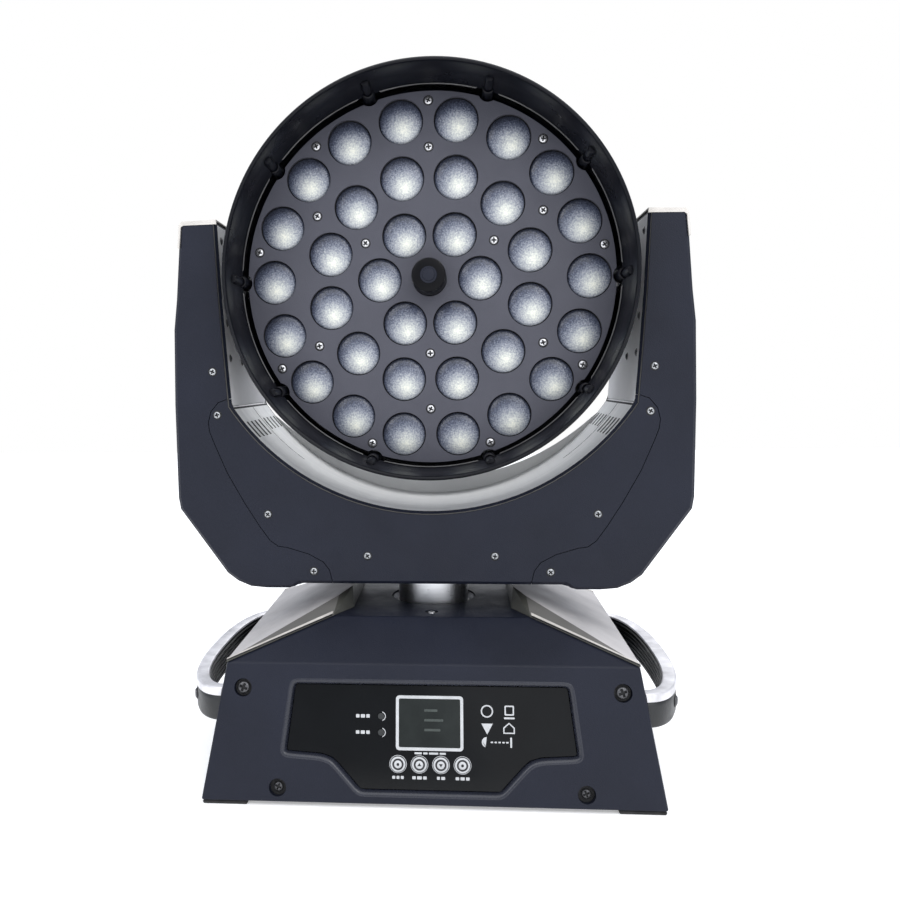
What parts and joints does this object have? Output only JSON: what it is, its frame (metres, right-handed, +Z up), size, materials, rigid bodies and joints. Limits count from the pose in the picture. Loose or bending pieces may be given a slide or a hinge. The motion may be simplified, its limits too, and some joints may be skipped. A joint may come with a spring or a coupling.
{
  "type": "moving head light",
  "caption": "Moving head wash light: a base with carry handles and a control panel, a panning yoke, and a round tilting head with a deep bezel around a zooming lens plate.",
  "frame": {"origin": "on the pan axis, at the underside of the feet", "axes": "+Z up along the pan axis; the lenses, display and buttons face -Y; +X is to the right for someone facing the front"},
  "size_m": [0.376, 0.2558, 0.509],
  "materials": {
    "cover_plastic": "satin dark grey, fine texture",
    "shoulder_plastic": "satin, pale under light",
    "panel_gloss": "glossy black",
    "display_glass": "glossy, dark when off",
    "button_rubber": "matt",
    "indicator_lens": "diffusing",
    "foot_rubber": "matt",
    "handle_metal": "silver, satin",
    "steel_plate": "plain sheet",
    "shaft_aluminium": "machined",
    "saddle_silver": "silver, satin",
    "bezel_black": "semi-gloss black",
    "plate_black": "satin",
    "lens_acrylic": "frosted, pearly",
    "circuit_board": "solder mask",
    "belt_rubber": "matt",
    "socket_plastic": "matt black",
    "motor_black": "satin black"
  },
  "bodies": {
    "base": {"base_chassis": "steel_plate", "base_housing": "cover_plastic", "shoulder_cover_left": "shoulder_plastic", "shoulder_cover_right": "shoulder_plastic", "control_panel": "panel_gloss", "display_window": "display_glass", "indicator_light_1": "indicator_lens", "indicator_light_2": "indicator_lens", "control_board": "circuit_board", "handle_left": "handle_metal", "handle_right": "handle_metal", "foot_front_left": "foot_rubber", "foot_front_right": "foot_rubber", "foot_rear_left": "foot_rubber", "foot_rear_right": "foot_rubber", "connector_panel": "steel_plate", "mains_inlet": "socket_plastic", "fuse_holder": "socket_plastic", "data_socket_in": "socket_plastic", "data_socket_out": "socket_plastic", "pan_motor": "motor_black", "pan_belt": "belt_rubber", "pan_bearing": "steel_plate", "power_supply": "steel_plate"},
    "yoke": {"pan_shaft": "shaft_aluminium", "pan_pulley": "steel_plate", "yoke_frame": "steel_plate", "yoke_centre_cover_front": "cover_plastic", "yoke_centre_cover_rear": "cover_plastic", "yoke_side_cover_left_front": "cover_plastic", "yoke_side_cover_left_rear": "cover_plastic", "yoke_side_cover_right_front": "cover_plastic", "yoke_side_cover_right_rear": "cover_plastic", "saddle_cover": "saddle_silver", "inner_arm_cover_left": "saddle_silver", "inner_arm_cover_right": "saddle_silver", "tilt_motor": "motor_black", "tilt_belt": "belt_rubber"},
    "head": {"bezel_ring": "bezel_black", "head_rear_cover": "cover_plastic", "head_frame": "steel_plate", "tilt_axle_left": "shaft_aluminium", "tilt_axle_right": "shaft_aluminium", "tilt_pulley": "steel_plate", "led_board": "circuit_board", "heat_sink": "shaft_aluminium", "zoom_motor": "motor_black", "fan_frame": "socket_plastic"},
    "zoom_carriage": {"lens_plate": "plate_black", "lens_array": "lens_acrylic", "centre_hub": "bezel_black"},
    "button_1": {"button_1": "button_rubber"},
    "button_2": {"button_2": "button_rubber"},
    "button_3": {"button_3": "button_rubber"},
    "button_4": {"button_4": "button_rubber"},
    "pan_motor_rotor": {"pan_motor_pulley": "steel_plate"},
    "tilt_motor_rotor": {"tilt_motor_pulley": "steel_plate"},
    "zoom_screw": {"zoom_screw": "shaft_aluminium"},
    "fan": {"fan_rotor": "socket_plastic"}
  },
  "joints": [
    {"name": "pan", "type": "hinge", "parent": "base", "child": "yoke", "pos_m": [0, 0, 0], "axis": [0, 0, 1], "range_deg": [-270, 270]},
    {"name": "tilt", "type": "hinge", "parent": "yoke", "child": "head", "pos_m": [0, 0, 0.363], "axis": [1, 0, 0], "range_deg": [-225, 45]},
    {"name": "zoom", "type": "slide", "parent": "head", "child": "zoom_carriage", "axis": [0, 1, 0], "range_m": [-0.01, 0.012]},
    {"name": "button_1_press", "type": "slide", "parent": "base", "child": "button_1", "axis": [0, 0.9787, -0.2055], "range_m": [0, 0.0008], "stiffness_N_per_m": 800},
    {"name": "button_2_press", "type": "slide", "parent": "base", "child": "button_2", "axis": [0, 0.9787, -0.2055], "range_m": [0, 0.0008], "stiffness_N_per_m": 800},
    {"name": "button_3_press", "type": "slide", "parent": "base", "child": "button_3", "axis": [0, 0.9787, -0.2055], "range_m": [0, 0.0008], "stiffness_N_per_m": 800},
    {"name": "button_4_press", "type": "slide", "parent": "base", "child": "button_4", "axis": [0, 0.9787, -0.2055], "range_m": [0, 0.0008], "stiffness_N_per_m": 800},
    {"name": "pan_motor_spin", "type": "hinge", "parent": "base", "child": "pan_motor_rotor", "pos_m": [0.088, -0.002, 0], "axis": [0, 0, 1], "range_deg": [-1205, 1205]},
    {"name": "tilt_motor_spin", "type": "hinge", "parent": "yoke", "child": "tilt_motor_rotor", "pos_m": [0, 0, 0.2], "axis": [1, 0, 0], "range_deg": [-870, 175]},
    {"name": "zoom_screw_spin", "type": "hinge", "parent": "head", "child": "zoom_screw", "pos_m": [0, 0, 0.363], "axis": [0, 1, 0], "range_deg": [-455, 545]},
    {"name": "fan_spin", "type": "hinge", "parent": "head", "child": "fan", "pos_m": [0, 0.0643, 0.363], "axis": [0, 1, 0], "continuous": true}
  ],
  "couplings": [
    {"joint": "pan_motor_spin", "follows": "pan", "ratio": 4.4444},
    {"joint": "tilt_motor_spin", "follows": "tilt", "ratio": 3.8571},
    {"joint": "zoom_screw_spin", "follows": "zoom", "rad_per_m": 785.4}
  ]
}
